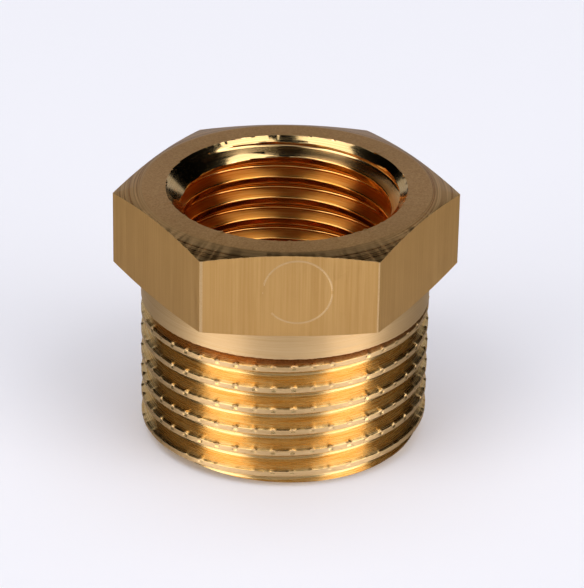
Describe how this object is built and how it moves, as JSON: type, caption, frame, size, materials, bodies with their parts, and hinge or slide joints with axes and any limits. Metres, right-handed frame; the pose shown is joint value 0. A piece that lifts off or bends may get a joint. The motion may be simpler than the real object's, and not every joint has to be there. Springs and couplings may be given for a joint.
{
  "type": "hex bushing",
  "caption": "Reducing hex bushing: hexagon head over a short male pipe thread, drilled through and tapped from the top with a smaller female pipe thread.",
  "frame": {"origin": "centre of the thread end's flat face, on which the part stands", "axes": "+Z along the threads' common axis, from the thread end to the hexagon; the hexagon has two corners on the X axis and two flats square to Y"},
  "size_m": [0.0196, 0.017, 0.0148],
  "materials": {
    "brass": "satin"
  },
  "bodies": {
    "root": {"hex_bushing": "brass"}
  },
  "joints": []
}
